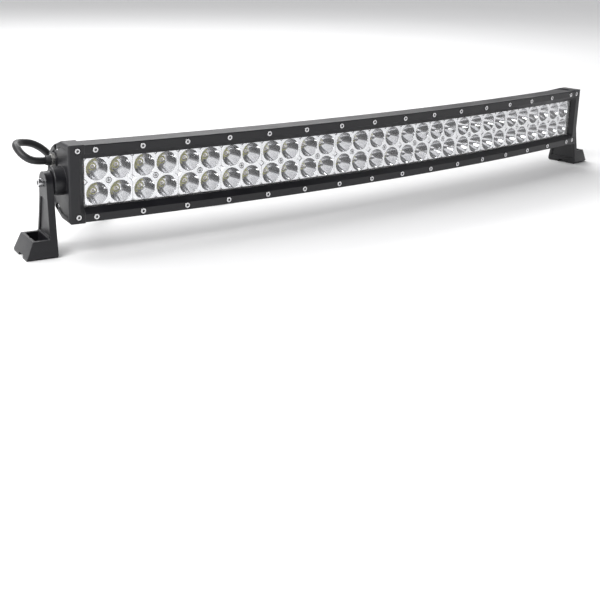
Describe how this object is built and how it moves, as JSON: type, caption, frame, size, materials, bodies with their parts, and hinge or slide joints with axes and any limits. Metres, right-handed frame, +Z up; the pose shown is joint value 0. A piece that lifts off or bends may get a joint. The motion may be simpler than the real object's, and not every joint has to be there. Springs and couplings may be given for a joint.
{
  "type": "led light bar",
  "caption": "Slim curved twin-row LED flood and spot light bar with clear front lens, finned metal housing, two swivelling end brackets and a short power lead.",
  "frame": {"origin": "on the ground under the middle of the lamp: the centre of the underside of the bounding box of the lamp and its brackets, without the cable and connector", "axes": "+X along the bar to its right end as its front is seen, -Y the way the lamp shines, +Z up"},
  "size_m": [0.8654, 0.1412, 0.1096],
  "materials": {
    "housing_black": "satin",
    "bezel_black": "satin",
    "cap_black": "satin",
    "bracket_black": "satin",
    "stainless": "polished",
    "black_rubber": "matte",
    "clear_lens": "gloss",
    "metallised_cup": "polished",
    "white_board": "satin",
    "led_yellow": "satin",
    "led_dome": "gloss",
    "grey_pad": "matte",
    "driver_green": "satin",
    "driver_parts": "satin",
    "lead_jacket": "satin",
    "gland_metal": "satin",
    "washer_plastic": "matte",
    "cable_jacket": "satin",
    "connector_plastic": "satin"
  },
  "bodies": {
    "lamp": {"housing": "housing_black", "bezel_top": "bezel_black", "bezel_bottom": "bezel_black", "left_end_cap": "cap_black", "right_end_cap": "cap_black", "bezel_screws": "stainless", "cap_front_screws": "stainless", "cap_side_screws": "stainless", "pivot_bolts": "stainless", "reflector_screws": "stainless", "lens_gasket": "black_rubber", "left_cap_gasket": "black_rubber", "right_cap_gasket": "black_rubber", "gland_seal": "black_rubber", "lens": "clear_lens", "reflector_01": "metallised_cup", "reflector_02": "metallised_cup", "reflector_03": "metallised_cup", "reflector_04": "metallised_cup", "reflector_05": "metallised_cup", "reflector_06": "metallised_cup", "reflector_07": "metallised_cup", "reflector_08": "metallised_cup", "reflector_09": "metallised_cup", "reflector_10": "metallised_cup", "reflector_11": "metallised_cup", "reflector_12": "metallised_cup", "reflector_13": "metallised_cup", "reflector_14": "metallised_cup", "reflector_15": "metallised_cup", "led_board_01": "white_board", "led_board_02": "white_board", "led_board_03": "white_board", "led_board_04": "white_board", "led_board_05": "white_board", "led_board_06": "white_board", "led_board_07": "white_board", "led_board_08": "white_board", "led_board_09": "white_board", "led_board_10": "white_board", "led_board_11": "white_board", "led_board_12": "white_board", "led_board_13": "white_board", "led_board_14": "white_board", "led_board_15": "white_board", "led_emitters": "led_yellow", "led_domes": "led_dome", "thermal_pads": "grey_pad", "driver_board": "driver_green", "driver_components": "driver_parts", "supply_leads": "lead_jacket", "gland_nut": "gland_metal", "pivot_washers": "washer_plastic", "power_cable": "cable_jacket", "cable_connector": "connector_plastic"},
    "left_bracket": {"left_bracket": "bracket_black"},
    "right_bracket": {"right_bracket": "bracket_black"}
  },
  "joints": [
    {"name": "left_swivel", "type": "hinge", "parent": "lamp", "child": "left_bracket", "pos_m": [-0.40282, 0.00628, 0.071], "axis": [0.9914, -0.1305, 0], "range_deg": [-90, 75]},
    {"name": "right_swivel", "type": "hinge", "parent": "lamp", "child": "right_bracket", "pos_m": [0.40282, 0.00628, 0.071], "axis": [0.9914, 0.1305, 0], "range_deg": [-90, 90]}
  ]
}
